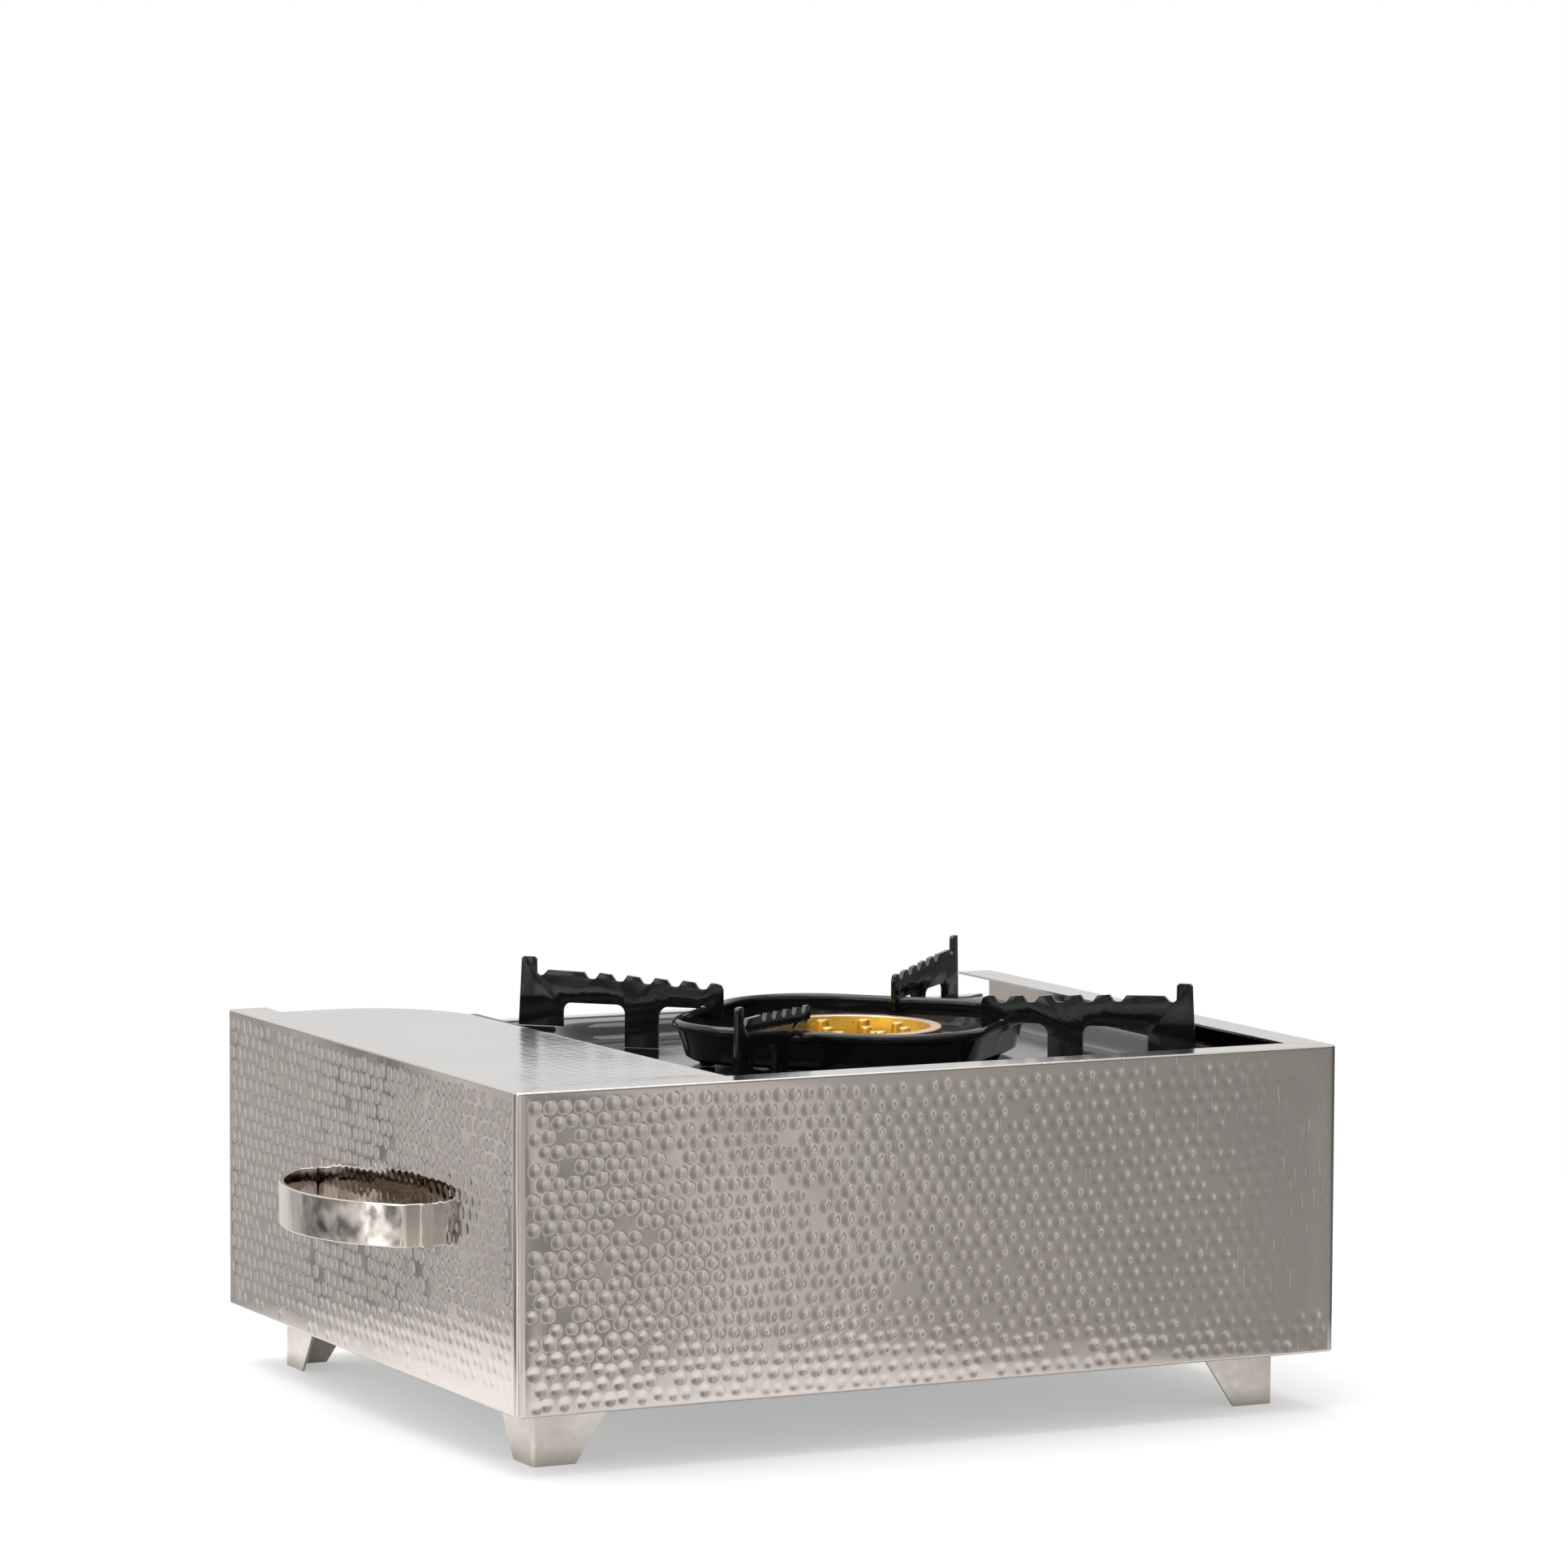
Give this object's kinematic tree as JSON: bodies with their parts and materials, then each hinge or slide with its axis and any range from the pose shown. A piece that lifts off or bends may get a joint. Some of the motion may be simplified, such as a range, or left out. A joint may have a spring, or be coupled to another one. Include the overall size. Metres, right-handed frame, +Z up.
{
  "type": "portable gas stove in casing",
  "caption": "Portable cartridge gas stove in a hammered steel serving casing with strap handles and sheet feet; open at the operator side.",
  "frame": {"origin": "centre of the footprint on the surface that the four feet stand on", "axes": "+X to the right along the closed front wall, +Y towards the open operator side, +Z up"},
  "size_m": [0.474, 0.328, 0.1883],
  "materials": {
    "hammered_steel": "polished stainless sheet, hand hammered",
    "satin_steel": "smooth satin stainless",
    "polished_steel": "mirror polished",
    "plain_steel": "plain zinc-plated sheet",
    "black_enamel": "glossy vitreous enamel",
    "black_paint": "gloss black stove paint",
    "fascia_grey": "satin grey paint",
    "screw_steel": "plated",
    "dial_silver": "satin",
    "rubber": "matt",
    "brass": "machined",
    "ivory_plastic": "moulded",
    "red_insulation": "silicone insulation",
    "ceramic": "glazed ceramic",
    "burner_casting": "rough cast",
    "gold_casting": "gold-coloured casting with machined ring",
    "knob_plastic": "moulded",
    "cartridge_paint": "lithographed can, plain colour"
  },
  "bodies": {
    "casing": {"casing_front_wall": "hammered_steel", "casing_left_wall": "hammered_steel", "casing_right_wall": "hammered_steel", "casing_top_panel": "satin_steel", "casing_base": "satin_steel", "foot_front_left": "satin_steel", "foot_front_right": "satin_steel", "foot_rear_left": "satin_steel", "foot_rear_right": "satin_steel", "handle_left": "polished_steel", "handle_right": "polished_steel", "shelf_rail_left": "plain_steel", "shelf_rail_right": "plain_steel", "stove_shelf": "plain_steel"},
    "stove": {"stove_body": "black_paint", "stove_top_plate": "black_enamel", "heat_shield": "plain_steel", "cartridge_lid": "black_paint", "lid_hinge_rod": "plain_steel", "control_fascia": "fascia_grey", "fascia_screws": "screw_steel", "knob_dial_ring": "dial_silver", "stove_feet": "rubber", "regulator_body": "brass", "gas_jet": "brass", "mixing_tube": "plain_steel", "piezo_igniter": "ivory_plastic", "igniter_lead": "red_insulation", "igniter_electrode": "ceramic", "burner_base": "burner_casting", "burner_head": "gold_casting", "burner_nozzles": "gold_casting"},
    "pan_set": {"drip_pan": "black_enamel", "pan_support_right": "black_enamel", "pan_support_rear": "black_enamel", "pan_support_left": "black_enamel", "pan_support_front": "black_enamel"},
    "knob": {"control_knob": "knob_plastic", "valve_spindle": "screw_steel"},
    "lever": {"lock_lever": "knob_plastic"},
    "cartridge": {"gas_cartridge": "cartridge_paint", "cartridge_cradle": "plain_steel"}
  },
  "joints": [
    {"name": "stove_slide", "type": "slide", "parent": "casing", "child": "stove", "axis": [0, 1, 0], "range_m": [0, 0.28]},
    {"name": "drip_pan_lift", "type": "slide", "parent": "stove", "child": "pan_set", "axis": [0, 0, 1], "range_m": [0, 0.06]},
    {"name": "knob_turn", "type": "hinge", "parent": "stove", "child": "knob", "pos_m": [-0.1225, 0.14, 0.112], "axis": [0, 1, 0], "range_deg": [0, 120]},
    {"name": "lever_press", "type": "slide", "parent": "stove", "child": "lever", "axis": [0, 0, -1], "range_m": [0, 0.018]},
    {"name": "cartridge_lock", "type": "slide", "parent": "stove", "child": "cartridge", "axis": [0, 1, 0], "range_m": [0, 0.006]}
  ],
  "couplings": [
    {"joint": "cartridge_lock", "follows": "lever_press", "ratio": 0.33333}
  ]
}
